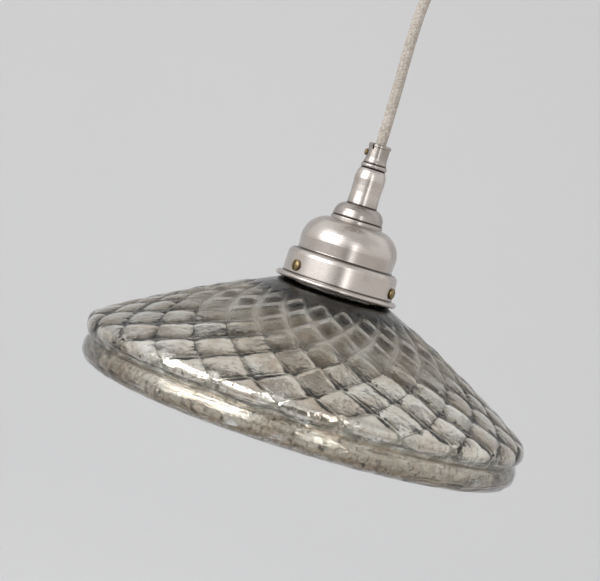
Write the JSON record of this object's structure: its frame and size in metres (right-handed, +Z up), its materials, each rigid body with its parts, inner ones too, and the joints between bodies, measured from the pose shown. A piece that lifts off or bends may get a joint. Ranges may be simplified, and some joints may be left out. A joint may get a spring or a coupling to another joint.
{
  "type": "pendant ceiling light",
  "caption": "Pendant ceiling light with a diamond-quilted silvered glass shade held by screws in a spun metal gallery, on a short braided flex from a matching ceiling rose.",
  "frame": {"origin": "centre of the plane where the ceiling rose and its bracket meet the ceiling", "axes": "+Z up into the ceiling, -Y towards the front of the light, +X to its right; everything hangs below z = 0"},
  "size_m": [0.2478, 0.2478, 0.2873],
  "materials": {
    "antique_silver": "spun brass, plated and satin finished to a warm antique silver",
    "aged_brass": "turned brass, slightly aged",
    "clean_brass": "turned brass, bright",
    "zinc": "zinc-plated steel",
    "white_nylon": "moulded nylon",
    "porcelain": "glazed porcelain",
    "linen": "braided natural linen over the cores",
    "brown_core": "brown insulation",
    "blue_core": "blue insulation",
    "earth_core": "green and yellow insulation",
    "silvered_glass": "pressed glass, silvered inside, mottled",
    "bulb_glass": "clear thin glass",
    "bulb_black_glass": "black vitrified glass",
    "bulb_metal": "nickel-plated cap and solder",
    "filament": "yellow phosphor coating"
  },
  "bodies": {
    "ceiling_rose": {"rose_cup": "antique_silver", "rose_bracket": "zinc", "rose_cord_grip": "antique_silver", "rose_grip_nut": "zinc", "rose_flex": "linen", "rose_core_line": "brown_core", "rose_core_neutral": "blue_core", "rose_core_earth": "earth_core", "terminal_block": "white_nylon", "terminal_tubes": "clean_brass", "terminal_screws": "clean_brass"},
    "pendant": {"flex": "linen", "cord_grip": "antique_silver", "collar_ring": "antique_silver", "sleeve": "antique_silver", "domed_collar": "antique_silver", "nipple": "clean_brass", "gallery": "antique_silver", "gallery_nut": "clean_brass", "shade": "silvered_glass", "holder_cap": "antique_silver", "holder_skirt": "antique_silver", "holder_insulator": "porcelain", "holder_terminals": "clean_brass", "screw_shell": "clean_brass", "centre_contact": "clean_brass", "earth_post": "clean_brass", "lamp_flex": "linen", "lamp_core_line": "brown_core", "lamp_core_neutral": "blue_core", "lamp_core_earth": "earth_core"},
    "bulb": {"bulb_cap": "bulb_metal", "bulb_insulator": "bulb_black_glass", "bulb_contact": "bulb_metal", "bulb_globe": "bulb_glass", "bulb_stem": "bulb_glass", "bulb_wires": "bulb_metal", "bulb_sticks": "filament"},
    "rose_side_screw_left": {"rose_side_screw_left": "aged_brass"},
    "rose_side_screw_right": {"rose_side_screw_right": "aged_brass"},
    "rose_grip_screw": {"rose_grip_screw": "aged_brass"},
    "grip_screw": {"grip_screw": "aged_brass"},
    "gallery_screw_left": {"gallery_screw_left": "aged_brass"},
    "gallery_screw_right": {"gallery_screw_right": "aged_brass"},
    "gallery_screw_back": {"gallery_screw_back": "aged_brass"}
  },
  "joints": [
    {"name": "flex_swing", "type": "hinge", "parent": "ceiling_rose", "child": "pendant", "pos_m": [0, 0, -0.04], "axis": [0, 1, 0], "range_deg": [-30, 30]},
    {"name": "bulb_unscrew", "type": "hinge", "parent": "pendant", "child": "bulb", "pos_m": [0, 0, -0.22], "axis": [0, 0, -1], "range_deg": [0, 900]},
    {"name": "gallery_screw_left_slide", "type": "slide", "parent": "pendant", "child": "gallery_screw_left", "axis": [-0.766, -0.6428, 0], "range_m": [0, 0.004]},
    {"name": "gallery_screw_right_slide", "type": "slide", "parent": "pendant", "child": "gallery_screw_right", "axis": [0.9397, -0.342, 0], "range_m": [0, 0.004]},
    {"name": "gallery_screw_back_slide", "type": "slide", "parent": "pendant", "child": "gallery_screw_back", "axis": [-0.1736, 0.9848, 0], "range_m": [0, 0.004]},
    {"name": "grip_screw_slide", "type": "slide", "parent": "pendant", "child": "grip_screw", "axis": [-1, 0, 0], "range_m": [0, 0.002]},
    {"name": "rose_grip_screw_slide", "type": "slide", "parent": "ceiling_rose", "child": "rose_grip_screw", "axis": [-1, 0, 0], "range_m": [0, 0.002]},
    {"name": "rose_side_screw_left_slide", "type": "slide", "parent": "ceiling_rose", "child": "rose_side_screw_left", "axis": [-1, 0, 0], "range_m": [0, 0.004]},
    {"name": "rose_side_screw_right_slide", "type": "slide", "parent": "ceiling_rose", "child": "rose_side_screw_right", "axis": [1, 0, 0], "range_m": [0, 0.004]}
  ]
}
